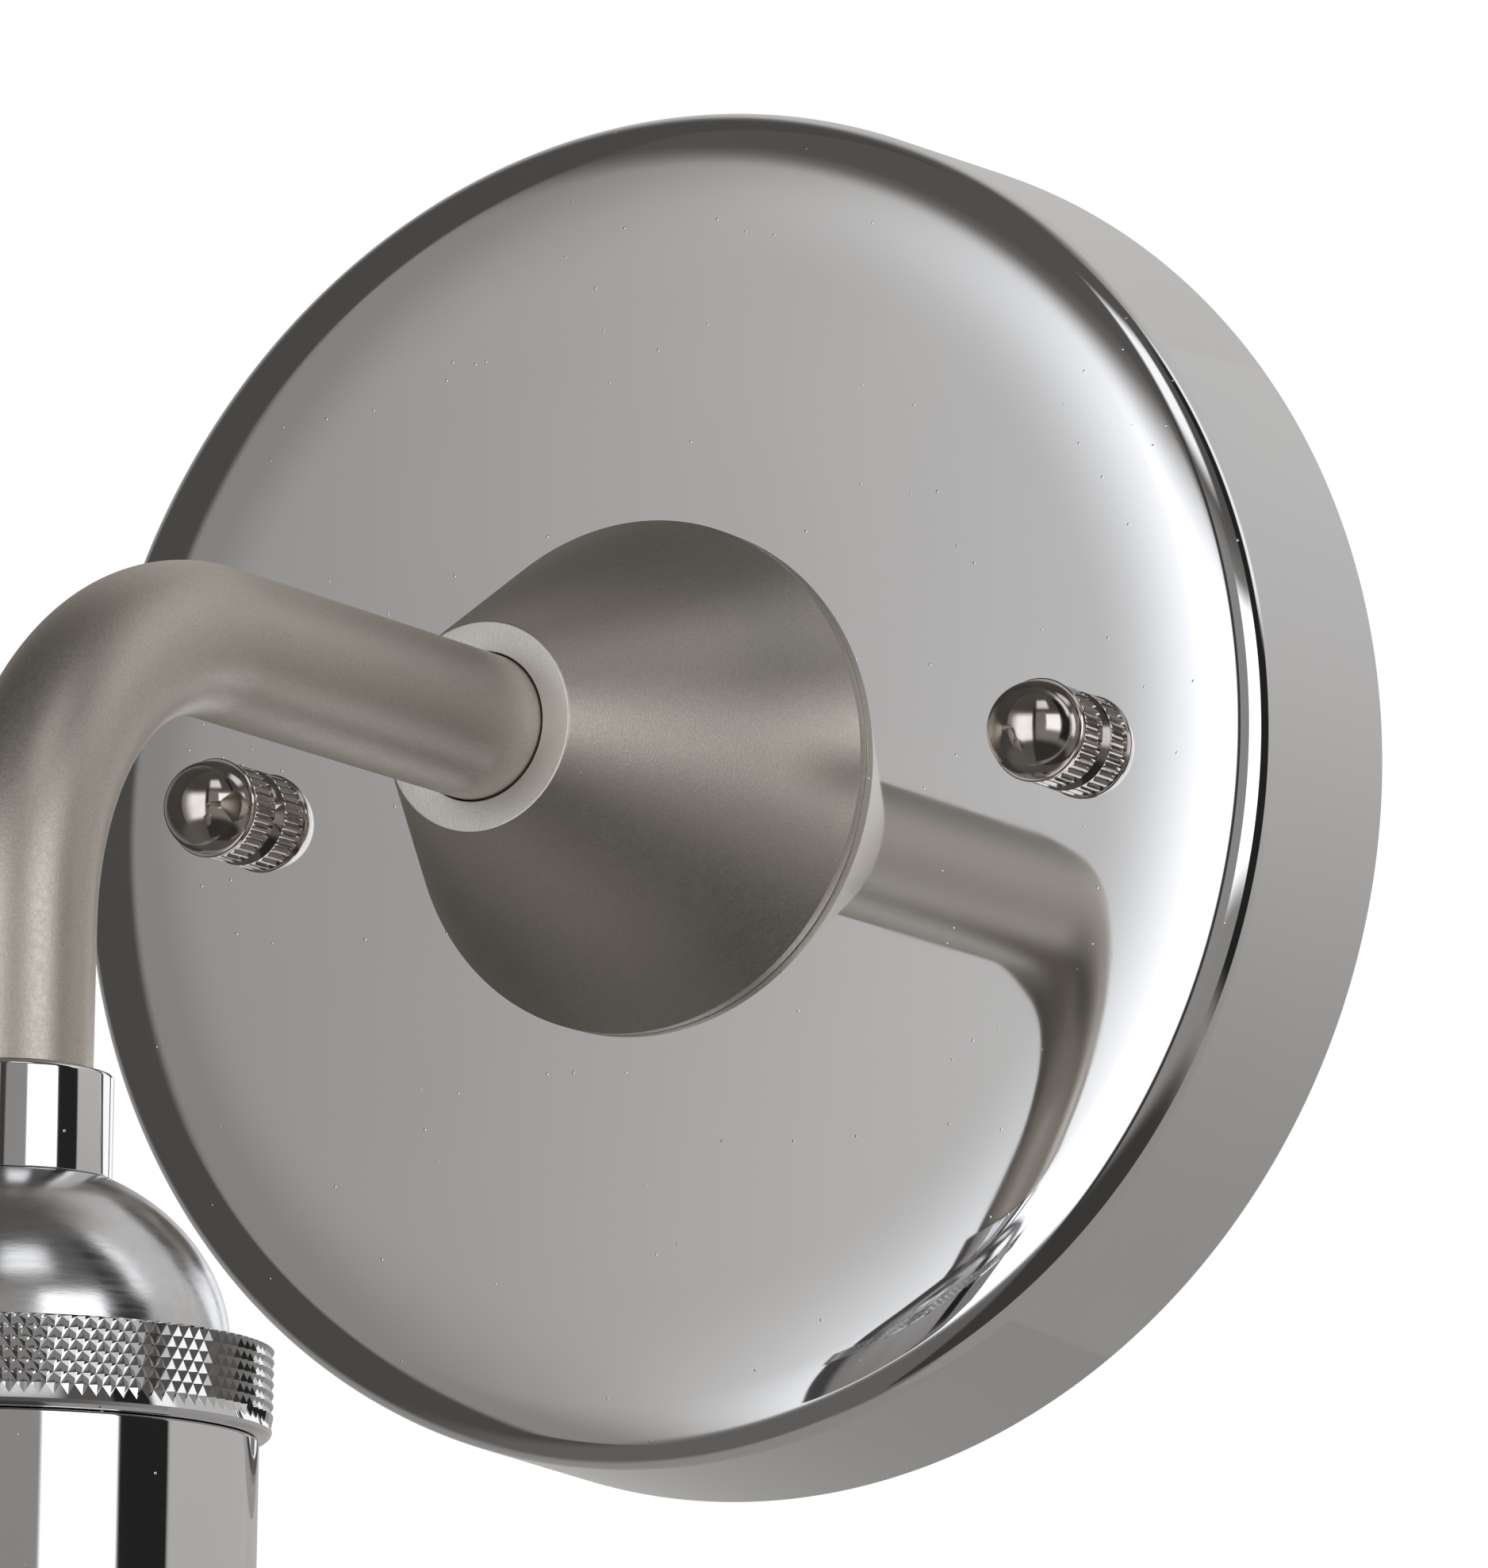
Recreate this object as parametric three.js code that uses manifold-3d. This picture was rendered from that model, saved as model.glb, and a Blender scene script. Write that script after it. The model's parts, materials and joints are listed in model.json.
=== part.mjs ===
// Gooseneck wall sconce: a chrome wall plate held by two ball nuts, a satin nickel cone and bent arm,
// and a chrome screw-base lampholder that hangs from the arm.
// Millimetres. The origin is the centre of the plate's back rim, on the wall.
// +Z is up and -Y is out into the room.
import * as THREE from "three";
import { mergeVertices } from "three/addons/utils/BufferGeometryUtils.js";
import Module from "manifold-3d";

const wasm = await Module();
wasm.setup();

// ---- Driving dimensions ----

// Clearances
const seatGap = 0.1; // between faces that rest on each other
const slipGap = 0.15; // radial, between a piece and the piece it slides over
const runGap = 0.2; // radial, between pieces that turn on each other
const joinDepth = 0.1; // how far two shapes of one piece run into each other

// Wall plate, a deep drawn shell that is open at the back
const plateRadius = 60.3;
const plateDepth = 22.3;
const plateSheet = 1.2;
const plateDraft = 0.9; // how much smaller the wall is at the front than at the back
const plateCorner = 3.2;
const crownWidth = 12.7; // the face is crowned over this width next to the corner
const crownFall = 1; // how far the crowned face falls away at the corner

// Fixing to the wall box
const fixingInset = 19.025; // from the plate's edge to the middle of a fixing
const studRadius = 2.08;
const studPastFace = 5.2;
const barOverhang = 7.7; // past the middle of each fixing
const barWidth = 17;
const barSheet = 1.6;
const barCorner = 2;
const barHoleRadius = 5.3;
const slotLength = 13;
const slotWidth = 5;
const slotToFixing = 11.3; // from the middle of a slot to the middle of a fixing
const groundScrewRadius = 2.4;
const groundHeadAcross = 7.9;
const groundHeadHeight = 3;
const groundFlangeRadius = 4.9;
const groundFlangeHeight = 0.8;
const studNutAcross = 8.7;
const studNutHeight = 3;

// Ball nuts
const ballNutRadius = 4.42;
const ballNutBand = 4.1; // from the plate to the thin flange
const ballNutFlange = 0.45;
const ballRadius = 4.15;
const ballNutKnurl = 0.22; // depth of the straight knurl
const ballNutTeeth = 24;
const ballNutChamfer = 0.5;
const ballNutGroove = 0.45; // depth and width of the groove below the flange

// Hollow threaded nipples and the nuts on them
const nippleWall = 1.4;
const lockNutRing = 1.9; // from the nipple to a flat of its nut
const lockNutHeight = 3;
const waveWasherSheet = 0.9;
const washerRing = 3.3; // from the nipple to the edge of a washer
const bushingWall = 0.6;
const bushingFlange = 1;
const bushingLength = 5;

// Cone
const coneRadius = 22.4;
const coneRim = 1;
const coneHeight = 26.6;
const coneTipRadius = 9;
const coneWall = 2; // measured along the radius
const coneTipWall = 2;
const coneEdge = 0.3;
const floorSheet = 1.5;
const floorInset = 1.9; // from the outside of the rim to the edge of the floor disc
const frictionSheet = 0.8;

// Swivel stop
const swingLimit = 90; // degrees each way
const stopCollarWall = 2.8;
const stopCollarHeight = 3.5;
const lugLength = 3.4;
const lugHalfAngle = 13;
const stopPinRadius = 1.4;
const stopPlay = 0.6; // degrees left between the lug and the pin at the limit

// Arm
const tubeRadius = 6.25;
const tubeWall = 1;
const armReach = 116; // from the wall to the middle of the hanging leg
const bendRadius = 27;
const legLength = 11.8; // straight stretch below the bend
const nippleInTube = 10;
const nipplePastNut = 3.5;

// Lampholder
const collarRadius = 7.9;
const collarHeight = 8.2;
const collarEdge = 0.35;
const capHeight = 12.8;
const capNutRoom = 0.05; // from the corners of the nut inside out to the edge of the cap's flat top
const capSheet = 1;
const capFlange = 1.1;
const capLedge = 1.3; // how far the cap's flange stands out
const ringProud = 1.05; // how far the knurled ring stands out from the cup
const ringHeight = 6.2;
const ringChamfer = 1.3;
const ringLip = 1.3;
const cupRadius = 19.7;
const cupLength = 37;
const cupSheet = 1.2;
const threadDepth = 1.1; // how far the cup's threaded neck is turned down
const neckWall = 1.1;
const yokeSheet = 1.2;
const yokeSide = 1.25; // metal beside the nipple's hole
const yokeWeb = 1.6; // metal between the nipple's hole and a screw's hole
const yokeInset = 1; // from the edge of the insulator's head to the end of the yoke
const yokeDrop = 2.3; // from the cap's nut down to the yoke, room for the wires
const nippleTail = 0.3; // past the yoke
const smallScrewRadius = 1.5;
const smallHeadRadius = 2.7;
const smallHeadHeight = 1.5;
const screwSlotWidth = 0.7;
const screwSlotDepth = 0.6;
const screwHoleSpare = 0.4; // how much deeper a blind hole is than its screw
const yokeScrewLength = 5;
const terminalScrewLength = 4;
const headRadius = 12.5;
const insulatorFloor = 8;
const insulatorSkirt = 29;
const linerSheet = 0.8;
const linerInset = 3; // from the cup's open end to the liner
const linerDrop = 1; // from the top of the neck to the liner
const shellRadius = 13.85;
const shellSheet = 0.5;
const shellLength = 26;
const shellFlange = 3.6;
const contactWidth = 6;
const contactSheet = 0.5;
const contactRise = 2.4;
const contactFoot = 3.5;
const contactTongue = 5;

// Roundness of the turned pieces
const plateSides = 60;
const roundSides = 40;
const smallSides = 20;

// ---- Derived places ----

const faceSeat = plateDepth + seatGap;
const plateInside = plateDepth - plateSheet;
const frontRadius = plateRadius - plateDraft;
const flatRadius = frontRadius - plateCorner - crownWidth;
const tubeBore = tubeRadius - tubeWall;
const nippleRadius = tubeBore - slipGap;
const nippleBore = nippleRadius - nippleWall;
const nippleHole = nippleRadius + slipGap;
const lockNutAcross = 2 * (nippleRadius + lockNutRing);
const washerRadius = nippleRadius + washerRing;
const stopCollarRadius = tubeRadius + slipGap + stopCollarWall;
const lugReach = stopCollarRadius + lugLength;

const fixingPlace = plateRadius - fixingInset;
const barLength = 2 * (fixingPlace + barOverhang);
const slotPlace = fixingPlace - slotToFixing;
const groundScrewPlace = (barHoleRadius + slotPlace - slotLength / 2) / 2;

const floorTop = faceSeat + floorSheet;
const frictionTop = floorTop + seatGap + frictionSheet;
const tubeStart = frictionTop + seatGap;
const waveWasherBack = plateInside - seatGap - waveWasherSheet;
const waveWasherTop = plateInside - seatGap;
const lockNutBack = waveWasherBack - seatGap - lockNutHeight;
const nippleBack = lockNutBack - nipplePastNut;

const tubeEnd = -bendRadius - legLength;
const collarTop = tubeEnd - seatGap;
const collarBottom = collarTop - collarHeight;
const capTop = collarBottom - seatGap;
const ringTop = capTop - capHeight;
const capInside = capTop - capSheet;
const capNutTop = capInside - seatGap;
const yokeTop = capNutTop - lockNutHeight - yokeDrop;
const socketNippleEnd = yokeTop - yokeSheet - nippleTail;
const headTop = socketNippleEnd - 3 * seatGap;
const capFlangeTop = ringTop - ringLip - seatGap;
const neckTop = capFlangeTop - capFlange - seatGap;
const neckRadius = cupRadius - threadDepth;
const capRadius = neckRadius - capLedge;
const capFlatRadius = lockNutAcross / Math.sqrt(3) + capNutRoom;
const capCurve = capHeight / Math.sqrt(1 - (capFlatRadius / capRadius) ** 2);
const ringRadius = cupRadius + ringProud;
const neckBore = neckRadius - neckWall;
const linerRadius = neckBore - runGap;
const insulatorRadius = linerRadius - linerSheet - slipGap;
const headBottom = neckTop - runGap;
const insulatorSeat = headBottom - insulatorFloor;
const yokeWidth = 2 * (nippleHole + yokeSide);
const yokeLength = 2 * (headRadius - yokeInset);
const yokeScrewSpacing = 2 * (nippleHole + yokeWeb + slipGap + smallScrewRadius);
const terminalHeight = (headTop + headBottom) / 2;
const ringBottom = ringTop - ringHeight - ringChamfer;
const cupBottom = ringBottom - runGap - cupLength;
const linerBottom = cupBottom + linerInset;
const linerTop = neckTop - linerDrop;

// ---- Materials ----

function metal(name, colour, roughness) {
  return new THREE.MeshStandardMaterial({ name, color: colour, roughness, metalness: 1 });
}

function plain(name, colour, roughness) {
  return new THREE.MeshStandardMaterial({ name, color: colour, roughness, metalness: 0 });
}

const chrome = () => metal("chrome", 0xd9dadc, 0.06);
const satinNickel = () => metal("satin_nickel", 0x9c948a, 0.42);
const darkNickel = () => metal("dark_nickel", 0x8b8580, 0.12);
const zincSteel = () => metal("zinc_steel", 0xb7b9bb, 0.4);
const brass = () => metal("brass", 0xc79a4b, 0.3);
const greenPaint = () => plain("green_paint", 0x2f7a45, 0.5);
const fibre = () => plain("fibre", 0x35302b, 0.9);
const card = () => plain("card", 0x8f7a5e, 0.95);
const porcelain = () => plain("porcelain", 0xe9e6df, 0.3);
const nylon = () => plain("nylon", 0xe4e1d8, 0.6);

// ---- Shape helpers. Every turned or extruded piece stands on its own Z axis ----

const degrees = Math.PI / 180;

function areaOf(profile) {
  return profile.reduce((sum, [r, z], i) => {
    const [nextR, nextZ] = profile[(i + 1) % profile.length];
    return sum + r * nextZ - nextR * z;
  }, 0);
}

// A closed outline of [radius, height] corners, turned about Z. It stays off the axis.
function turned(profile, sides = roundSides) {
  const anticlockwise = areaOf(profile) > 0 ? profile : [...profile].reverse();
  const outline = [...anticlockwise, anticlockwise[0]].map(([r, z]) => new THREE.Vector2(r, z));
  return new THREE.LatheGeometry(outline, sides).rotateX(Math.PI / 2);
}

// An outline of [radius, height] corners that starts and ends on the axis, lowest first.
function turnedSolid(profile, sides = roundSides) {
  const outline = profile.map(([r, z]) => new THREE.Vector2(r, z));
  return new THREE.LatheGeometry(outline, sides).rotateX(Math.PI / 2);
}

function tubeBetween(innerRadius, outerRadius, low, high, sides = roundSides) {
  return turned([[innerRadius, low], [outerRadius, low], [outerRadius, high], [innerRadius, high]], sides);
}

function rod(radius, low, high, sides = smallSides) {
  return turnedSolid([[0, low], [radius, low], [radius, high], [0, high]], sides);
}

function circlePath(radius, sides, x = 0, y = 0) {
  const corners = Array.from({ length: sides }, (_, i) => {
    const angle = (2 * Math.PI * i) / sides;
    return new THREE.Vector2(x + radius * Math.cos(angle), y + radius * Math.sin(angle));
  });
  return new THREE.Path(corners);
}

function polygonShape(corners) {
  return new THREE.Shape(corners.map(([x, y]) => new THREE.Vector2(x, y)));
}

function extruded(shape, low, high) {
  return new THREE.ExtrudeGeometry(shape, { depth: high - low, bevelEnabled: false }).translate(0, 0, low);
}

function hexShape(acrossFlats, boreRadius) {
  const cornerRadius = acrossFlats / Math.sqrt(3);
  const corners = Array.from({ length: 6 }, (_, i) => [
    cornerRadius * Math.cos(i * 60 * degrees),
    cornerRadius * Math.sin(i * 60 * degrees),
  ]);
  const shape = polygonShape(corners);
  if (boreRadius > 0) shape.holes.push(circlePath(boreRadius, smallSides));
  return shape;
}

// Points along an arc of [radius, height], by angle from the outward direction.
function arcPoints(centreR, centreZ, radius, fromDegrees, toDegrees, steps) {
  return Array.from({ length: steps + 1 }, (_, i) => {
    const angle = (fromDegrees + ((toDegrees - fromDegrees) * i) / steps) * degrees;
    return [centreR + radius * Math.cos(angle), centreZ + radius * Math.sin(angle)];
  });
}

function solidOf(geometry) {
  const bare = new THREE.BufferGeometry();
  const source = geometry.index ? geometry.toNonIndexed() : geometry;
  bare.setAttribute("position", source.getAttribute("position"));
  const merged = mergeVertices(bare, 1e-4);
  const triVerts = new Uint32Array(merged.index.array);
  const vertProperties = new Float32Array(merged.attributes.position.array);
  return new wasm.Manifold(new wasm.Mesh({ numProp: 3, vertProperties, triVerts }));
}

function geometryOf(solid) {
  const mesh = solid.getMesh();
  const positions = new Float32Array(mesh.numVert * 3);
  for (let i = 0; i < mesh.numVert; i++) {
    positions.set(mesh.vertProperties.subarray(i * mesh.numProp, i * mesh.numProp + 3), i * 3);
  }
  const geometry = new THREE.BufferGeometry();
  geometry.setAttribute("position", new THREE.BufferAttribute(positions, 3));
  geometry.setIndex(new THREE.BufferAttribute(new Uint32Array(mesh.triVerts), 1));
  return geometry;
}

function cutFrom(geometry, ...tools) {
  return geometryOf(tools.reduce((solid, tool) => solid.subtract(solidOf(tool)), solidOf(geometry)));
}

function joined(geometry, ...others) {
  return geometryOf(others.reduce((solid, other) => solid.add(solidOf(other)), solidOf(geometry)));
}

function addTo(group, name, geometry, material, x = 0, y = 0, z = 0) {
  const mesh = new THREE.Mesh(geometry, material);
  mesh.name = name;
  mesh.position.set(x, y, z);
  group.add(mesh);
  return mesh;
}

// ---- Wall plate ----

// One side of the drawn sheet, set in from the outside by inset: wall, corner arc, then the crown's arc.
function plateOutline(inset) {
  const crownRadius = (crownWidth ** 2 + crownFall ** 2) / (2 * crownFall);
  const crownTilt = Math.asin(crownWidth / crownRadius) / degrees;
  const cornerTop = 90 - crownTilt;
  const cornerHeight = plateDepth - crownFall - plateCorner * Math.sin(cornerTop * degrees);
  const corner = arcPoints(frontRadius - plateCorner, cornerHeight, plateCorner - inset, 0, cornerTop, 5);
  const crown = arcPoints(flatRadius, plateDepth - crownRadius, crownRadius - inset, cornerTop, 90, 4);
  return [[plateRadius - inset, 0], ...corner, ...crown.slice(1)];
}

function backplateGeometry() {
  const centreHole = nippleRadius + runGap;
  const outside = [...plateOutline(0), [centreHole, plateDepth]];
  const inside = [...plateOutline(plateSheet), [centreHole, plateInside]].reverse();
  const fixingHole = (side) =>
    rod(studRadius + runGap, plateInside - 2, plateDepth + 2).translate(side * fixingPlace, 0, 0);
  return cutFrom(turned([...outside, ...inside], plateSides), fixingHole(-1), fixingHole(1));
}

// ---- Crossbar and its fasteners ----

function slotPath(middle) {
  const half = (slotLength - slotWidth) / 2;
  const end = slotWidth / 2;
  const corners = [
    ...arcPoints(middle + half, 0, end, -90, 90, 6),
    ...arcPoints(middle - half, 0, end, 90, 270, 6),
  ];
  return new THREE.Path(corners.map(([x, y]) => new THREE.Vector2(x, y)));
}

function crossbarGeometry() {
  const x = barLength / 2 - barCorner;
  const y = barWidth / 2 - barCorner;
  const outline = [
    ...arcPoints(x, -y, barCorner, -90, 0, 3),
    ...arcPoints(x, y, barCorner, 0, 90, 3),
    ...arcPoints(-x, y, barCorner, 90, 180, 3),
    ...arcPoints(-x, -y, barCorner, 180, 270, 3),
  ];
  const shape = polygonShape(outline);
  shape.holes.push(circlePath(barHoleRadius, smallSides));
  shape.holes.push(circlePath(groundScrewRadius + slipGap, smallSides, groundScrewPlace, 0));
  for (const side of [-1, 1]) {
    shape.holes.push(slotPath(side * slotPlace));
    shape.holes.push(circlePath(studRadius + slipGap, smallSides, side * fixingPlace, 0));
  }
  return extruded(shape, 0, barSheet);
}

function groundScrewGeometry() {
  const headBase = barSheet + seatGap;
  const flangeTop = headBase + groundFlangeHeight;
  const head = extruded(hexShape(groundHeadAcross, 0), flangeTop - joinDepth, headBase + groundHeadHeight);
  const body = turnedSolid([
    [0, seatGap],
    [groundScrewRadius, seatGap],
    [groundScrewRadius, headBase],
    [groundFlangeRadius, headBase],
    [groundFlangeRadius, flangeTop],
    [0, flangeTop],
  ], smallSides);
  return joined(body, head);
}

function ballNutGeometry() {
  const root = ballNutRadius - ballNutKnurl;
  const bandTop = ballNutBand - ballNutGroove;
  const ballCentre = ballNutBand + ballNutFlange;
  const bore = studRadius + slipGap;
  const boreDepth = studPastFace + 4 * seatGap;
  const body = turnedSolid([
    [0, 0],
    [root - ballNutChamfer, 0],
    [root, ballNutChamfer],
    [root, bandTop],
    [root - ballNutGroove, ballNutBand - ballNutGroove / 3],
    [ballNutRadius, ballNutBand],
    [ballNutRadius, ballCentre],
    ...arcPoints(0, ballCentre, ballRadius, 0, 90, 6).slice(0, -1),
    [0, ballCentre + ballRadius],
  ], 24);
  const teeth = Array.from({ length: 2 * ballNutTeeth }, (_, i) => {
    const radius = i % 2 ? ballNutRadius : root - joinDepth / 2;
    const angle = (i * 180) / ballNutTeeth * degrees;
    return [radius * Math.cos(angle), radius * Math.sin(angle)];
  });
  const band = extruded(polygonShape(teeth), ballNutChamfer + 3 * joinDepth, bandTop - joinDepth);
  return cutFrom(joined(body, band), rod(bore, -1, boreDepth));
}

// ---- Cone ----

function coneCoverGeometry() {
  const tip = faceSeat + coneHeight;
  const rimTop = faceSeat + coneRim;
  const slope = (coneRadius - coneTipRadius) / (coneHeight - coneRim);
  const outerAt = (height) => coneRadius - slope * (height - rimTop);
  const innerAt = (height) => outerAt(height) - coneWall;
  const pocket = coneRadius - floorInset + slipGap;
  const ledge = floorTop + seatGap;
  const tipUnderside = tip - coneTipWall;
  const hole = tubeRadius + runGap;
  return turned([
    [pocket, faceSeat],
    [coneRadius, faceSeat],
    [coneRadius, rimTop],
    [outerAt(tip - coneEdge), tip - coneEdge],
    [coneTipRadius - coneEdge, tip],
    [hole, tip],
    [hole, tipUnderside],
    [innerAt(tipUnderside), tipUnderside],
    [innerAt(ledge), ledge],
    [pocket, ledge],
  ]);
}

const pinCircle = (stopCollarRadius + lugReach) / 2;
const pinHalfAngle = Math.asin(stopPinRadius / pinCircle) / degrees;
const stopPinAngle = -90 + swingLimit + lugHalfAngle + pinHalfAngle + stopPlay;

function pinPlace(side) {
  const angle = stopPinAngle * degrees;
  return [side * pinCircle * Math.cos(angle), pinCircle * Math.sin(angle)];
}

function coneFloorGeometry() {
  const shape = new THREE.Shape(circlePath(coneRadius - floorInset, roundSides).getPoints());
  shape.holes.push(circlePath(nippleRadius + runGap, roundSides));
  for (const side of [-1, 1]) {
    const [x, y] = pinPlace(side);
    shape.holes.push(circlePath(stopPinRadius + slipGap, 16, x, y));
  }
  return extruded(shape, faceSeat + seatGap, floorTop);
}

function stopCollarGeometry() {
  const around = arcPoints(0, 0, stopCollarRadius, -90 + lugHalfAngle, 270 - lugHalfAngle, 32);
  const lug = arcPoints(0, 0, lugReach, 270 - lugHalfAngle, 270 + lugHalfAngle, 4);
  const shape = polygonShape([...around, ...lug]);
  shape.holes.push(circlePath(tubeRadius + slipGap, roundSides));
  return extruded(shape, tubeStart, tubeStart + stopCollarHeight);
}

// A plastic sleeve that keeps the wires off the nipple's sharp end.
function wireBushingGeometry() {
  const sleeve = nippleBore - slipGap;
  const bore = sleeve - bushingWall;
  const flangeTop = nippleBack - seatGap;
  return turned([
    [bore, flangeTop - bushingFlange],
    [nippleRadius, flangeTop - bushingFlange],
    [nippleRadius, flangeTop],
    [sleeve, flangeTop],
    [sleeve, flangeTop + bushingLength],
    [bore, flangeTop + bushingLength],
  ], smallSides);
}

// ---- Arm tube ----

// The arm's middle line: out from the wall, a quarter bend, then straight down.
class GooseneckLine extends THREE.Curve {
  constructor(bendSteps) {
    super();
    this.bendSteps = bendSteps;
    this.start = new THREE.Vector3(0, -tubeStart, 0);
    this.bendStart = new THREE.Vector3(0, -(armReach - bendRadius), 0);
    this.bendEnd = new THREE.Vector3(0, -armReach, -bendRadius);
    this.end = new THREE.Vector3(0, -armReach, tubeEnd);
  }

  // u runs over one step for each straight stretch and bendSteps for the bend.
  place(u) {
    const step = u * (this.bendSteps + 2);
    const turn = THREE.MathUtils.clamp((step - 1) / this.bendSteps, 0, 1) * 90 * degrees;
    return { step, turn };
  }

  getPointAt(u, target = new THREE.Vector3()) {
    const { step, turn } = this.place(u);
    if (step < 1) return target.lerpVectors(this.start, this.bendStart, step);
    if (step > this.bendSteps + 1) {
      return target.lerpVectors(this.bendEnd, this.end, step - this.bendSteps - 1);
    }
    const y = -(armReach - bendRadius) - bendRadius * Math.sin(turn);
    return target.set(0, y, -bendRadius + bendRadius * Math.cos(turn));
  }

  getTangentAt(u, target = new THREE.Vector3()) {
    const { turn } = this.place(u);
    return target.set(0, -Math.cos(turn), -Math.sin(turn));
  }

  getPoint(t, target) {
    return this.getPointAt(t, target);
  }
}

function armTubeGeometry() {
  const bendSteps = 12;
  const section = new THREE.Shape(circlePath(tubeRadius, 28).getPoints());
  section.holes.push(circlePath(tubeBore, 28));
  const extrudePath = new GooseneckLine(bendSteps);
  return new THREE.ExtrudeGeometry(section, { steps: bendSteps + 2, extrudePath, bevelEnabled: false });
}

// ---- Lampholder ----

function collarGeometry() {
  const bore = nippleHole;
  return turned([
    [bore, collarBottom],
    [collarRadius, collarBottom],
    [collarRadius, collarTop - collarEdge],
    [collarRadius - collarEdge, collarTop],
    [bore, collarTop],
  ]);
}

// The cap's wall is the lower part of an ellipse, set in from the outside by inset.
function capOutline(inset, steps) {
  const from = Math.acos(capHeight / capCurve);
  return Array.from({ length: steps + 1 }, (_, i) => {
    const angle = from + ((Math.PI / 2 - from) * i) / steps;
    return [(capRadius - inset) * Math.sin(angle), ringTop + (capCurve - inset) * Math.cos(angle)];
  });
}

function socketCapGeometry() {
  const bore = nippleHole;
  const flangeRadius = neckRadius - seatGap;
  const flangeBottom = capFlangeTop - capFlange;
  const [, ...inside] = capOutline(capSheet, 6);
  const crownEdge = inside[0][0] - capSheet;
  return turned([
    [bore, capTop],
    ...capOutline(0, 6),
    [capRadius, capFlangeTop],
    [flangeRadius, capFlangeTop],
    [flangeRadius, flangeBottom],
    [capRadius - capSheet, flangeBottom],
    ...inside.reverse(),
    [crownEdge, capInside],
    [bore, capInside],
  ]);
}

function knurledRingGeometry() {
  const lipBore = capRadius + runGap;
  const bore = neckRadius + runGap;
  return turned([
    [lipBore, ringTop],
    [ringRadius - 0.2, ringTop],
    [ringRadius, ringTop - 0.2],
    [ringRadius, ringTop - ringHeight],
    [ringRadius - ringChamfer * 0.75, ringBottom],
    [bore, ringBottom],
    [bore, ringTop - ringLip],
    [lipBore, ringTop - ringLip],
  ]);
}

function socketCupGeometry() {
  const shoulder = ringBottom - runGap;
  const edge = 0.3;
  const bore = cupRadius - cupSheet;
  return turned([
    [neckBore, neckTop],
    [neckRadius, neckTop],
    [neckRadius, shoulder],
    [cupRadius - edge, shoulder],
    [cupRadius, shoulder - edge],
    [cupRadius, cupBottom + edge],
    [cupRadius - edge, cupBottom],
    [bore, cupBottom],
    [bore, shoulder - cupSheet - 1],
    [neckBore, shoulder - cupSheet],
  ]);
}

function insulatorGeometry() {
  const bottom = insulatorSeat - insulatorSkirt;
  const bore = shellRadius + slipGap;
  const body = turnedSolid([
    [0, insulatorSeat],
    [bore, insulatorSeat],
    [bore, bottom],
    [insulatorRadius, bottom],
    [insulatorRadius, headBottom],
    [headRadius, headBottom],
    [headRadius, headTop],
    [0, headTop],
  ]);
  const holeRadius = smallScrewRadius + slipGap;
  const yokeHole = (side) =>
    rod(holeRadius, headTop - yokeScrewLength, headTop + 1).translate((side * yokeScrewSpacing) / 2, 0, 0);
  const terminalHole = (side) =>
    rod(holeRadius, headRadius - terminalScrewLength - screwHoleSpare, headRadius + 1)
      .rotateX((side * Math.PI) / 2)
      .translate(0, 0, terminalHeight);
  return cutFrom(body, yokeHole(-1), yokeHole(1), terminalHole(-1), terminalHole(1));
}

function yokeGeometry() {
  const x = yokeLength / 2;
  const y = yokeWidth / 2;
  const shape = polygonShape([[-x, -y], [x, -y], [x, y], [-x, y]]);
  shape.holes.push(circlePath(nippleHole, smallSides));
  for (const side of [-1, 1]) {
    shape.holes.push(circlePath(smallScrewRadius + slipGap, 16, (side * yokeScrewSpacing) / 2, 0));
  }
  return extruded(shape, yokeTop - yokeSheet, yokeTop);
}

// A slotted pan-head screw that stands on z = 0 and goes down by length.
function smallScrewGeometry(length) {
  const body = turnedSolid([
    [0, -length],
    [smallScrewRadius, -length],
    [smallScrewRadius, 0],
    [smallHeadRadius, 0],
    [smallHeadRadius, smallHeadHeight * 0.6],
    [smallHeadRadius * 0.75, smallHeadHeight],
    [0, smallHeadHeight],
  ], smallSides);
  const slot = new THREE.BoxGeometry(smallHeadRadius * 3, screwSlotWidth, 2 * screwSlotDepth);
  return cutFrom(body, slot.translate(0, 0, smallHeadHeight));
}

function screwShellGeometry() {
  const top = insulatorSeat - seatGap;
  const bottom = top - shellLength;
  return turned([
    [shellRadius - shellFlange, top],
    [shellRadius, top],
    [shellRadius, bottom],
    [shellRadius - shellSheet, bottom],
    [shellRadius - shellSheet, top - shellSheet],
    [shellRadius - shellFlange, top - shellSheet],
  ]);
}

// A bent leaf: a flat foot on the insulator, a short slope, and a flat tongue that meets the lamp.
function centreContactGeometry() {
  const top = insulatorSeat - seatGap;
  const tongue = contactTongue / 2;
  const slopeStart = -tongue - 1.5;
  const over = [
    [slopeStart - contactFoot, top],
    [slopeStart, top],
    [-tongue, top - contactRise],
    [tongue, top - contactRise],
  ];
  const under = over.map(([x, z]) => [x, z - contactSheet]).reverse();
  const shape = polygonShape([...under, ...over]);
  const leaf = new THREE.ExtrudeGeometry(shape, { depth: contactWidth, bevelEnabled: false });
  return leaf.translate(0, 0, -contactWidth / 2).rotateX(Math.PI / 2);
}

// ---- Assembly ----

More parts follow.
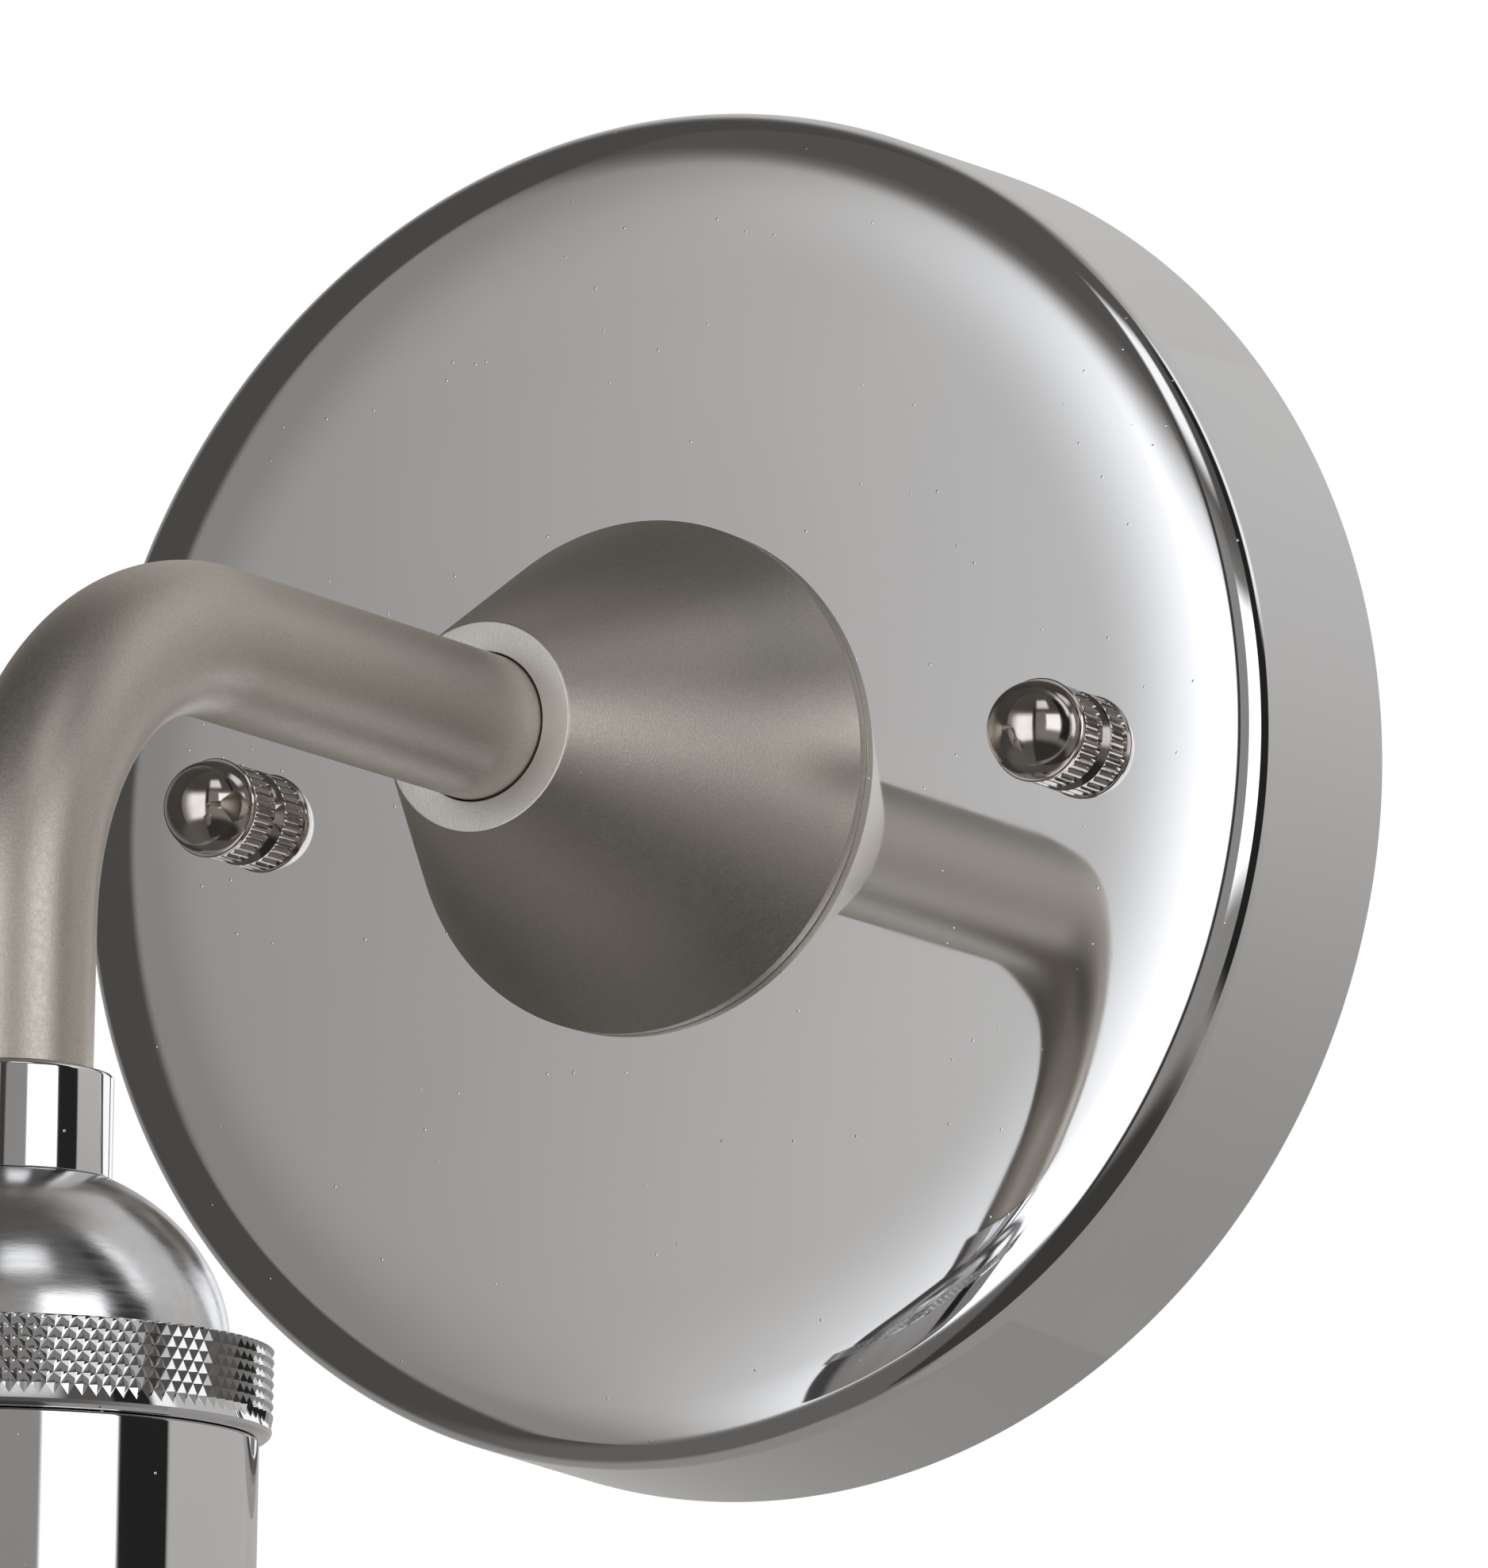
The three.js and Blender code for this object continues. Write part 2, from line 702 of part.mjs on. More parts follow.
// Everything that stands on the wall is built with Z pointing out of the wall, then turned to face -Y.
function wallGroup() {
  const wall = new THREE.Group();
  wall.rotation.x = Math.PI / 2;
  addTo(wall, "backplate", backplateGeometry(), chrome());
  addTo(wall, "mounting_crossbar", crossbarGeometry(), zincSteel());
  addTo(wall, "ground_screw", groundScrewGeometry(), greenPaint(), groundScrewPlace);
  for (const [side, end] of [[-1, "left"], [1, "right"]]) {
    const x = side * fixingPlace;
    const nutLow = barSheet + seatGap;
    const nutShape = hexShape(studNutAcross, studRadius + slipGap);
    const studNut = extruded(nutShape, nutLow, nutLow + studNutHeight);
    addTo(wall, "fixing_stud_" + end, rod(studRadius, seatGap, faceSeat + studPastFace), zincSteel(), x);
    addTo(wall, "stud_nut_" + end, studNut, zincSteel(), x);
    addTo(wall, "ball_nut_" + end, ballNutGeometry(), darkNickel(), x, 0, faceSeat);
    const [pinX, pinY] = pinPlace(side);
    const pin = rod(stopPinRadius, faceSeat + seatGap, tubeStart + stopCollarHeight, 16);
    addTo(wall, "stop_pin_" + end, pin, zincSteel(), pinX, pinY);
  }
  addTo(wall, "cone_cover", coneCoverGeometry(), satinNickel());
  addTo(wall, "cone_floor", coneFloorGeometry(), zincSteel());
  const washerBore = nippleRadius + runGap;
  const frictionWasher = tubeBetween(washerBore, washerRadius, floorTop + seatGap, frictionTop);
  addTo(wall, "friction_washer", frictionWasher, fibre());
  const waveWasher = tubeBetween(washerBore, washerRadius, waveWasherBack, waveWasherTop);
  addTo(wall, "wave_washer", waveWasher, zincSteel());
  const lockNut = hexShape(lockNutAcross, nippleHole);
  addTo(wall, "lock_nut", extruded(lockNut, lockNutBack, lockNutBack + lockNutHeight), brass());
  const nippleTop = tubeStart + nippleInTube;
  addTo(wall, "arm_nipple", tubeBetween(nippleBore, nippleRadius, nippleBack, nippleTop), zincSteel());
  addTo(wall, "wire_bushing", wireBushingGeometry(), nylon());
  addTo(wall, "stop_collar", stopCollarGeometry(), brass());
  return wall;
}

// The lampholder hangs on the leg's axis, with Z up as it hangs.
function lampGroup() {
  const lamp = new THREE.Group();
  lamp.position.y = -armReach;
  const nippleTop = tubeEnd + nippleInTube;
  const nipple = tubeBetween(nippleBore, nippleRadius, socketNippleEnd, nippleTop);
  addTo(lamp, "socket_nipple", nipple, zincSteel());
  addTo(lamp, "socket_collar", collarGeometry(), chrome());
  addTo(lamp, "socket_cap", socketCapGeometry(), chrome());
  const capNut = hexShape(lockNutAcross, nippleHole);
  addTo(lamp, "cap_nut", extruded(capNut, capNutTop - lockNutHeight, capNutTop), brass());
  addTo(lamp, "socket_yoke", yokeGeometry(), zincSteel());
  addTo(lamp, "insulator", insulatorGeometry(), porcelain());
  for (const [side, end] of [[-1, "left"], [1, "right"]]) {
    const x = (side * yokeScrewSpacing) / 2;
    const screw = smallScrewGeometry(yokeSheet + yokeScrewLength - screwHoleSpare);
    addTo(lamp, "yoke_screw_" + end, screw, zincSteel(), x, 0, yokeTop + seatGap);
  }
  const live = smallScrewGeometry(terminalScrewLength).rotateX(Math.PI / 2);
  const neutral = smallScrewGeometry(terminalScrewLength).rotateX(-Math.PI / 2);
  const headSide = headRadius + seatGap;
  addTo(lamp, "live_terminal_screw", live, brass(), 0, -headSide, terminalHeight);
  addTo(lamp, "neutral_terminal_screw", neutral, zincSteel(), 0, headSide, terminalHeight);
  addTo(lamp, "screw_shell", screwShellGeometry(), zincSteel());
  addTo(lamp, "centre_contact", centreContactGeometry(), brass());
  const liner = tubeBetween(linerRadius - linerSheet, linerRadius, linerBottom, linerTop);
  addTo(lamp, "insulating_liner", liner, card());
  addTo(lamp, "socket_cup", socketCupGeometry(), chrome());
  addTo(lamp, "knurled_ring", knurledRingGeometry(), chrome());
  return lamp;
}

const sconce = new THREE.Group();
sconce.add(wallGroup());
sconce.add(lampGroup());
addTo(sconce, "arm_tube", armTubeGeometry(), satinNickel());

export default sconce;
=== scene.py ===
"""Looks of the gooseneck wall sconce: turned and swept meshes, metal finishes, studio light and camera."""

import json
import math

import bmesh
import bpy
from mathutils import Matrix, Vector

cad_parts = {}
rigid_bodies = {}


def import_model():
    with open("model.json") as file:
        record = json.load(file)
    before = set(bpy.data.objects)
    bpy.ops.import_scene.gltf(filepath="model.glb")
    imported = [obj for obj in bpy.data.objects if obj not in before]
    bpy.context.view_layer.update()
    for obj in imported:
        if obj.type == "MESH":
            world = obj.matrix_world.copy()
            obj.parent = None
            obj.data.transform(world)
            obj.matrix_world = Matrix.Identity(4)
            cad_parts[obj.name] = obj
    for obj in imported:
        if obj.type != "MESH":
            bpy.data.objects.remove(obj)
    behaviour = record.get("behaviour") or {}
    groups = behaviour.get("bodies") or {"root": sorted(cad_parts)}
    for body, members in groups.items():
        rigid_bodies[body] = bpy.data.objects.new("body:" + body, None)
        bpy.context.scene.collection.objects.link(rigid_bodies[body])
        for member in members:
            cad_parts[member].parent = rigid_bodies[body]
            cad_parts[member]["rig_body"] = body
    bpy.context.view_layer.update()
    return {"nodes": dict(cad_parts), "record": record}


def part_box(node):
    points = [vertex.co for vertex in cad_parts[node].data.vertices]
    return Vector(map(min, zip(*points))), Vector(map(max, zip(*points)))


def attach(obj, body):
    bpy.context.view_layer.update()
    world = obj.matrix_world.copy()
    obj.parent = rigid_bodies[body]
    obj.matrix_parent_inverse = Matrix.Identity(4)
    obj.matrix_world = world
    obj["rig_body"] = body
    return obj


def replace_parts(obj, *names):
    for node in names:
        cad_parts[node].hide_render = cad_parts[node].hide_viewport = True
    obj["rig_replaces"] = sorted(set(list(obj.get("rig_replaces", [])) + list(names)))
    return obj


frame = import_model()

MM = 0.001
NODES = frame["nodes"]

# ---- Places and sizes that come from the CAD solids ----


def low(node):
    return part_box(node)[0]


def high(node):
    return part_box(node)[1]


def radius_of(node):
    """Half the node's width, which is its radius where it is round."""
    return (high(node).x - low(node).x) / 2


ARM_AXIS_Z = 0.0
LEG_Y = (low("socket_cup").y + high("socket_cup").y) / 2
PLATE_R = radius_of("backplate")
PLATE_DEPTH = -low("backplate").y
TUBE_R = radius_of("arm_tube")
BEND_R = 27 * MM
FIXING_X = (low("fixing_stud_right").x + high("fixing_stud_right").x) / 2

# ---- Mesh helpers ----


def piece(name, mesh, body, material, replaces=(), sharp=32):
    """Links a finished mesh, smooths it up to the sharp angle, and hangs it on its body."""
    obj = bpy.data.objects.new(name, mesh)
    bpy.context.scene.collection.objects.link(obj)
    mesh.shade_smooth()
    mesh.set_sharp_from_angle(angle=math.radians(sharp))
    mesh.materials.clear()
    mesh.materials.append(material)
    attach(obj, body)
    if replaces:
        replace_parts(obj, *replaces)
    return obj


def filleted(corners, steps=4):
    """Rounds each [radius, height, fillet] corner of an outline that closes on itself."""
    points = []
    count = len(corners)
    for i, corner in enumerate(corners):
        here = Vector(corner[:2])
        fillet = corner[2] if len(corner) > 2 else 0
        before = Vector(corners[i - 1][:2]) - here
        after = Vector(corners[(i + 1) % count][:2]) - here
        if fillet <= 0 or before.length < 1e-9 or after.length < 1e-9:
            points.append(here)
            continue
        half = before.angle(after) / 2
        reach = min(fillet / max(math.tan(half), 1e-3), before.length * 0.49, after.length * 0.49)
        start = here + before.normalized() * reach
        end = here + after.normalized() * reach
        for k in range(steps + 1):
            t = k / steps
            points.append(start * (1 - t) ** 2 + here * (2 * t * (1 - t)) + end * t ** 2)
    return points


def turned_mesh(name, points, sides, place, relief=None, faceted=False):
    """Turns a closed outline of (radius, height) about an axis.

    place(x, y, h) puts a point that stands at (x, y) around the axis and h along it.
    relief(angle, radius, height) gives the radius where the surface has teeth or a thread.
    Points on the axis become one vertex each. faceted splits each face along its deeper diagonal.
    """
    mesh = bpy.data.meshes.new(name)
    made = bmesh.new()
    rings = []
    reach = []
    for r, h in points:
        if r < 1e-7:
            rings.append([made.verts.new(place(0, 0, h))])
            reach.append([0])
            continue
        ring = []
        radii = []
        for k in range(sides):
            angle = 2 * math.pi * k / sides
            radius = relief(angle, r, h) if relief else r
            ring.append(made.verts.new(place(radius * math.cos(angle), radius * math.sin(angle), h)))
            radii.append(radius)
        rings.append(ring)
        reach.append(radii)
    for i, ring in enumerate(rings):
        following = rings[(i + 1) % len(rings)]
        if len(ring) == 1 and len(following) == 1:
            continue
        for k in range(sides):
            n = (k + 1) % sides
            corners = [
                ring[k % len(ring)],
                ring[n % len(ring)],
                following[n % len(following)],
                following[k % len(following)],
            ]
            distinct = list(dict.fromkeys(corners))
            if faceted and len(distinct) == 4:
                beyond = reach[(i + 1) % len(rings)]
                rising = reach[i][k] + beyond[n]
                falling = reach[i][n] + beyond[k]
                turn = 1 if rising > falling + 1e-6 else 0
                distinct = distinct[turn:] + distinct[:turn]
                made.faces.new((distinct[0], distinct[1], distinct[2]))
                made.faces.new((distinct[0], distinct[2], distinct[3]))
            elif len(distinct) > 2:
                made.faces.new(distinct)
    bmesh.ops.recalc_face_normals(made, faces=made.faces)
    made.to_mesh(mesh)
    made.free()
    return mesh


def outward(x_middle=0.0):
    """Placement of a piece that points out of the wall."""
    return lambda x, y, h: (x_middle + x, -h, ARM_AXIS_Z + y)


def upright(x, y, h):
    """Placement of a piece on the hanging leg's axis."""
    return (x, LEG_Y + y, h)


def arc(centre, radius, start, end, steps):
    """Points on an arc, by angle in degrees from the outward direction."""
    angles = [math.radians(start + (end - start) * k / steps) for k in range(steps + 1)]
    return [Vector((centre[0] + radius * math.cos(a), centre[1] + radius * math.sin(a))) for a in angles]


def triangle_wave(t):
    """0 at whole numbers and 1 half way between them."""
    return 1 - abs(2 * (t % 1) - 1)


# ---- Materials ----


class Finish:
    """A Principled material whose colour, roughness and bump come from noise in the piece's own space."""

    def __init__(self, name, colour, metallic, roughness):
        self.material = bpy.data.materials.new(name)
        self.material.use_nodes = True
        self.tree = self.material.node_tree
        self.shader = self.tree.nodes["Principled BSDF"]
        self.shader.inputs["Base Color"].default_value = (*colour, 1)
        self.shader.inputs["Metallic"].default_value = metallic
        self.shader.inputs["Roughness"].default_value = roughness
        self.colour = colour
        self.roughness = roughness
        self.space = self.tree.nodes.new("ShaderNodeTexCoord").outputs["Object"]
        self.normal = None

    def noise(self, scale, detail=3, stretch=(1, 1, 1)):
        mapping = self.tree.nodes.new("ShaderNodeMapping")
        mapping.inputs["Scale"].default_value = stretch
        self.tree.links.new(self.space, mapping.inputs["Vector"])
        node = self.tree.nodes.new("ShaderNodeTexNoise")
        node.inputs["Scale"].default_value = scale
        node.inputs["Detail"].default_value = detail
        self.tree.links.new(mapping.outputs["Vector"], node.inputs["Vector"])
        return node.outputs["Fac"]

    def spots(self, scale, size):
        """1 in small round spots scattered over the surface, 0 elsewhere."""
        cells = self.tree.nodes.new("ShaderNodeTexVoronoi")
        cells.inputs["Scale"].default_value = scale
        self.tree.links.new(self.space, cells.inputs["Vector"])
        return self.ramp(cells.outputs["Distance"], size, size * 0.4)

    def ramp(self, value, start, end, low_value=0.0, high_value=1.0):
        node = self.tree.nodes.new("ShaderNodeMapRange")
        node.inputs["From Min"].default_value = start
        node.inputs["From Max"].default_value = end
        node.inputs["To Min"].default_value = low_value
        node.inputs["To Max"].default_value = high_value
        self.tree.links.new(value, node.inputs["Value"])
        return node.outputs["Result"]

    def along(self, axis):
        """Distance along one of the piece's own axes."""
        split = self.tree.nodes.new("ShaderNodeSeparateXYZ")
        self.tree.links.new(self.space, split.inputs[0])
        return split.outputs[axis]

    def vary_roughness(self, value, spread, start=0.35, end=0.65):
        low_value = max(0.0, self.roughness - spread)
        rough = self.ramp(value, start, end, low_value, self.roughness + spread)
        self.tree.links.new(rough, self.shader.inputs["Roughness"])
        return self

    def vary_colour(self, value, other, start=0.35, end=0.65):
        mix = self.tree.nodes.new("ShaderNodeMix")
        mix.data_type = "RGBA"
        base = self.shader.inputs["Base Color"]
        if base.is_linked:
            self.tree.links.new(base.links[0].from_socket, mix.inputs["A"])
        else:
            mix.inputs["A"].default_value = (*self.colour, 1)
        mix.inputs["B"].default_value = (*other, 1)
        self.tree.links.new(self.ramp(value, start, end), mix.inputs["Factor"])
        self.tree.links.new(mix.outputs["Result"], base)
        return self

    def bump(self, value, height, strength=1.0):
        node = self.tree.nodes.new("ShaderNodeBump")
        node.inputs["Distance"].default_value = height
        node.inputs["Strength"].default_value = strength
        self.tree.links.new(value, node.inputs["Height"])
        if self.normal:
            self.tree.links.new(self.normal, node.inputs["Normal"])
        self.normal = node.outputs["Normal"]
        self.tree.links.new(self.normal, self.shader.inputs["Normal"])
        return self


def chrome_finish():
    finish = Finish("polished_chrome", (0.80, 0.80, 0.81), 1, 0.035)
    finish.vary_roughness(finish.noise(60, 4), 0.02)
    finish.vary_colour(finish.noise(25, 2), (0.77, 0.77, 0.785))
    finish.bump(finish.noise(90, 2), 0.004 * MM)
    finish.bump(finish.spots(420, 0.05), 0.02 * MM)
    return finish.material


def spun_chrome_finish():
    finish = Finish("spun_chrome", (0.78, 0.78, 0.79), 1, 0.2)
    finish.vary_roughness(finish.noise(300, 3, (1, 1, 8)), 0.03)
    finish.vary_colour(finish.noise(900, 2), (0.74, 0.74, 0.755))
    finish.bump(finish.noise(1500, 2, (1, 1, 5)), 0.003 * MM)
    return finish.material


def satin_finish(name):
    finish = Finish(name, (0.60, 0.552, 0.492), 1, 0.45)
    finish.vary_colour(finish.noise(5200, 1), (0.67, 0.62, 0.555), 0.35, 0.65)
    finish.vary_roughness(finish.noise(2400, 2), 0.03)
    finish.bump(finish.noise(5200, 1), 0.012 * MM)
    finish.bump(finish.spots(500, 0.05), 0.02 * MM)
    return finish


def cone_finish():
    """Satin, with a painted highlight: the flat ring round the cone's tip is coloured near white."""
    finish = satin_finish("satin_cone_painted_tip_highlight")
    tip = low("cone_cover").y
    # Painted highlight: near-white colour on the flat face at the tip stands in for the light that face
    # catches.
    finish.vary_colour(finish.along("Y"), (0.93, 0.90, 0.86), tip + 0.06 * MM, tip + 0.01 * MM)
    return finish


def dark_nickel_finish():
    finish = Finish("dark_nickel", (0.64, 0.59, 0.55), 1, 0.09)
    finish.vary_roughness(finish.noise(300, 3), 0.04)
    finish.vary_colour(finish.noise(400, 2), (0.50, 0.46, 0.43))
    finish.bump(finish.noise(500, 2), 0.004 * MM)
    return finish.material


def zinc_finish():
    finish = Finish("zinc_steel", (0.60, 0.61, 0.62), 1, 0.38)
    finish.vary_colour(finish.noise(120, 4), (0.48, 0.50, 0.54))
    finish.vary_roughness(finish.noise(500, 3), 0.12)
    finish.bump(finish.noise(900, 3, (1, 1, 6)), 0.015 * MM)
    return finish.material


def shell_finish():
    finish = Finish("nickel_shell", (0.66, 0.62, 0.54), 1, 0.25)
    finish.vary_colour(finish.noise(150, 3), (0.58, 0.53, 0.45))
    finish.vary_roughness(finish.noise(600, 3), 0.1)
    finish.bump(finish.noise(900, 2), 0.01 * MM)
    return finish.material


def brass_finish():
    finish = Finish("turned_brass", (0.74, 0.52, 0.22), 1, 0.28)
    finish.vary_colour(finish.noise(200, 3), (0.60, 0.40, 0.17))
    finish.vary_roughness(finish.noise(800, 3), 0.1)
    finish.bump(finish.noise(1500, 2), 0.01 * MM)
    return finish.material


def painted_finish():
    finish = Finish("green_paint", (0.03, 0.22, 0.08), 0.3, 0.4)
    finish.vary_colour(finish.noise(500, 3), (0.02, 0.16, 0.06))
    finish.bump(finish.noise(900, 2), 0.02 * MM)
    return finish.material


def fibre_finish():
    finish = Finish("pressed_fibre", (0.05, 0.042, 0.036), 0, 0.85)
    finish.vary_colour(finish.noise(1500, 4), (0.09, 0.075, 0.06))
    finish.bump(finish.noise(2500, 4), 0.05 * MM)
    return finish.material


def card_finish():
    finish = Finish("liner_card", (0.36, 0.27, 0.17), 0, 0.9)
    finish.vary_colour(finish.noise(1200, 5, (1, 1, 0.3)), (0.27, 0.20, 0.12))
    finish.bump(finish.noise(2500, 4), 0.04 * MM)
    return finish.material


def porcelain_finish():
    finish = Finish("glazed_porcelain", (0.84, 0.82, 0.77), 0, 0.16)
    finish.vary_colour(finish.noise(80, 3), (0.80, 0.775, 0.72))
    finish.vary_roughness(finish.noise(200, 3), 0.06)
    finish.bump(finish.noise(260, 3), 0.03 * MM)
    finish.shader.inputs["Coat Weight"].default_value = 0.4
    finish.shader.inputs["Coat Roughness"].default_value = 0.08
    return finish.material


def nylon_finish():
    finish = Finish("moulded_nylon", (0.78, 0.76, 0.70), 0, 0.5)
    finish.vary_colour(finish.noise(300, 3), (0.72, 0.69, 0.62))
    finish.bump(finish.noise(900, 3), 0.02 * MM)
    return finish.material


FINISHES = {
    "chrome": chrome_finish(),
    "spun_chrome": spun_chrome_finish(),
    "satin_nickel": satin_finish("satin_nickel").material,
    "satin_cone_painted_tip_highlight": cone_finish().material,
    "dark_nickel": dark_nickel_finish(),
    "zinc_steel": zinc_finish(),
    "shell_nickel": shell_finish(),
    "brass": brass_finish(),
    "green_paint": painted_finish(),
    "fibre": fibre_finish(),
    "card": card_finish(),
    "porcelain": porcelain_finish(),
    "nylon": nylon_finish(),
}
SLOT_OF = {row["node"]: row["material_slot"] for row in frame["record"]["subparts"]}


def body_of(node):
    return NODES[node]["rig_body"]


def stands_for(node, mesh, sharp=32, finish=None):
    """A finished piece that takes a CAD node's place, body and material slot."""
    slot = SLOT_OF[node]
    return piece(node + "_look", mesh, body_of(node), FINISHES[finish or slot], [node], sharp)


# ---- Wall plate ----


def make_plate():
    """The drawn shell. Its face is flat, then falls away ever faster to the corner's arc."""
    sheet = 1.2 * MM
    corner = 3.4 * MM
    draft = 0.9 * MM
    front = PLATE_R - draft
    crown_width = 12.7 * MM
    shoulder_width = 3.0 * MM
    crown_tilt = math.radians(5.5)
    shoulder_tilt = math.radians(19)
    centre_hole = radius_of("arm_nipple") + 0.2 * MM
    flat = front - corner - crown_width + corner * math.sin(shoulder_tilt)
    gentle = crown_width - shoulder_width

    def tilt(across):
        """How far the face leans, at this distance past its flat middle."""
        if across < gentle:
            return crown_tilt * (across / gentle) ** 2
        return crown_tilt + (shoulder_tilt - crown_tilt) * (across - gentle) / shoulder_width

    steps = 48
    corner_steps = 32
    sides = 384
    face = [(Vector((flat, PLATE_DEPTH)), 0.0)]
    for k in range(steps):
        lean = tilt(crown_width * (k + 0.5) / steps)
        step = Vector((1, -math.tan(lean))) * crown_width / steps
        face.append((face[-1][0] + step, tilt(crown_width * (k + 1) / steps)))
    edge = face[-1][0]
    centre = edge - corner * Vector((math.sin(shoulder_tilt), math.cos(shoulder_tilt)))
    for k in range(1, corner_steps + 1):
        lean = shoulder_tilt + (math.pi / 2 - shoulder_tilt) * k / corner_steps
        face.append((centre + corner * Vector((math.sin(lean), math.cos(lean))), lean))

    def side(inset):
        """The face's outline, moved in by this much of the sheet."""
        leant = [p - inset * Vector((math.sin(lean), math.cos(lean))) for p, lean in face]
        return [Vector((centre_hole, PLATE_DEPTH - inset)), *leant]

    lip = 0.3 * MM
    rim = [
        Vector((PLATE_R, lip)),
        Vector((PLATE_R - lip, 0)),
        Vector((PLATE_R - sheet + lip * 0.7, 0)),
        Vector((PLATE_R - sheet, lip)),
    ]
    return turned_mesh("backplate", [*side(0), *rim, *reversed(side(sheet))], sides, outward())


def cut_holes(obj, places, radius, depth_from, depth_to):
    """Bores round holes through a piece, along the direction out of the wall."""
    for x in places:
        bpy.ops.mesh.primitive_cylinder_add(
            vertices=64,
            radius=radius,
            depth=depth_to - depth_from,
            location=(x, -(depth_from + depth_to) / 2, ARM_AXIS_Z),
            rotation=(math.pi / 2, 0, 0),
        )
        drill = bpy.context.object
        cut = obj.modifiers.new("hole", "BOOLEAN")
        cut.operation = "DIFFERENCE"
        cut.solver = "EXACT"
        cut.object = drill
        bpy.context.view_layer.objects.active = obj
        bpy.ops.object.modifier_apply(modifier=cut.name)
        bpy.data.objects.remove(drill)


plate = stands_for("backplate", make_plate(), 40)
hole_radius = radius_of("fixing_stud_left") + 0.2 * MM
drill_from = 18 * MM
drill_to = 24 * MM
cut_holes(plate, (-FIXING_X, FIXING_X), hole_radius, drill_from, drill_to)


# ---- Cone ----


def make_cone():
    """A hollow cone with a short straight rim, its back recessed round the floor disc."""
    back = -high("cone_cover").y
    tip = -low("cone_cover").y
    base = radius_of("cone_cover")
    tip_r = 9.0 * MM
    rim = 1.0 * MM
    wall = 2.0 * MM
    hole = TUBE_R + 0.12 * MM
    pocket = radius_of("cone_floor") + 0.15 * MM
    ledge = -low("cone_floor").y + 0.1 * MM
    slope = (base - tip_r) / (tip - back - rim)

    def inside(height):
        """The cone's inner radius at this distance from the wall."""
        return base - slope * (height - back - rim) - wall

    corners = [
        (pocket, back + 0.02 * MM, 0),
        (base, back - 0.08 * MM, 0.15 * MM),
        (base, back + rim, 0.2 * MM),
        (tip_r, tip, 0.28 * MM),
        (hole, tip, 0.12 * MM),
        (hole, tip - wall, 0),
        (inside(tip - wall), tip - wall, 0),
        (inside(ledge), ledge, 0),
        (pocket, ledge, 0),
    ]
    return turned_mesh("cone_cover", filleted(corners, 5), 288, outward())


stands_for("cone_cover", make_cone(), 40, "satin_cone_painted_tip_highlight")


# ---- Arm tube ----


def make_arm():
    """A tube that leaves the wall, bends down through a quarter turn and ends in a rounded lip."""
    start_y = high("arm_tube").y
    end = low("arm_tube").z
    bend_y = LEG_Y + BEND_R
    bore = TUBE_R - 1.0 * MM
    sides = 128
    bend_steps = 72
    lip = 0.3 * MM
    # Each station is a place on the tube's middle line (y, z) and how far the tube has turned down.
    stations = [(start_y, 0.0, 0.0), (bend_y, 0.0, 0.0)]
    for k in range(1, bend_steps + 1):
        turn = math.pi / 2 * k / bend_steps
        stations.append((bend_y - BEND_R * math.sin(turn), -BEND_R * (1 - math.cos(turn)), turn))
    stations.append((LEG_Y, end + lip, math.pi / 2))

    mesh = bpy.data.meshes.new("arm_tube")
    made = bmesh.new()

    def ring(y, z, turn, radius):
        out = Vector((0, math.sin(turn), -math.cos(turn)))
        ring_verts = []
        for k in range(sides):
            angle = 2 * math.pi * k / sides
            offset = Vector((1, 0, 0)) * math.cos(angle) + out * math.sin(angle)
            ring_verts.append(made.verts.new(Vector((0, y, z)) + offset * radius))
        return ring_verts

    rings = [ring(*s, TUBE_R) for s in stations]
    rings.append(ring(LEG_Y, end, math.pi / 2, TUBE_R - lip))
    rings.append(ring(LEG_Y, end, math.pi / 2, bore))
    rings += [ring(*s, bore) for s in reversed(stations[:-1])]
    for i, here in enumerate(rings):
        following = rings[(i + 1) % len(rings)]
        for k in range(sides):
            n = (k + 1) % sides
            made.faces.new((here[k], here[n], following[n], following[k]))
    bmesh.ops.recalc_face_normals(made, faces=made.faces)
    made.to_mesh(mesh)
    made.free()
    return mesh


stands_for("arm_tube", make_arm(), 40)


# ---- Ball nuts ----


def make_ball_nut(x):
    """A blind nut: a straight-knurled band, a groove, a thin flange and a ball."""
    seat = PLATE_DEPTH + 0.02 * MM
    teeth = 34
    tooth = 0.26 * MM
    nut_r = radius_of("ball_nut_left")
    ball_r = 4.15 * MM
    band_low = 0.75 * MM
    band_high = 3.75 * MM
    flange_low = 4.1 * MM
    flange_high = 4.5 * MM
    knurl_end = 0.35 * MM
    bore = radius_of("fixing_stud_left") + 0.15 * MM
    depth = 5.6 * MM
    root = nut_r - 0.12 * MM
    body = [
        Vector((bore, 0)),
        Vector((root - 0.75 * MM, 0)),
        Vector((root - 0.05 * MM, band_low - 0.1 * MM)),
        *[Vector((root, band_low + (band_high - band_low) * k / 10)) for k in range(11)],
        Vector((root - 0.45 * MM, flange_low - 0.12 * MM)),
        Vector((nut_r - 0.1 * MM, flange_low)),
        Vector((nut_r, flange_low + 0.1 * MM)),
        Vector((nut_r, flange_high - 0.1 * MM)),
        Vector((nut_r - 0.1 * MM, flange_high)),
        *arc((0, flange_high), ball_r, 0, 90, 28)[:-1],
        Vector((0, flange_high + ball_r)),
        Vector((0, depth)),
        Vector((bore, depth)),
    ]

    def relief(angle, radius, height):
        above = height - seat
        if not band_low - 0.01 * MM <= above <= band_high + 0.01 * MM or radius < root - 0.02 * MM:
            return radius
        ends = min(1, (above - band_low) / knurl_end, (band_high - above) / knurl_end)
        wave = triangle_wave(angle * teeth / (2 * math.pi))
        return radius - tooth * (1 - min(1, 1.5 * wave)) * max(0, ends)

    points = [Vector((p.x, p.y + seat)) for p in body]
    return turned_mesh("ball_nut", points, teeth * 8, outward(x), relief)


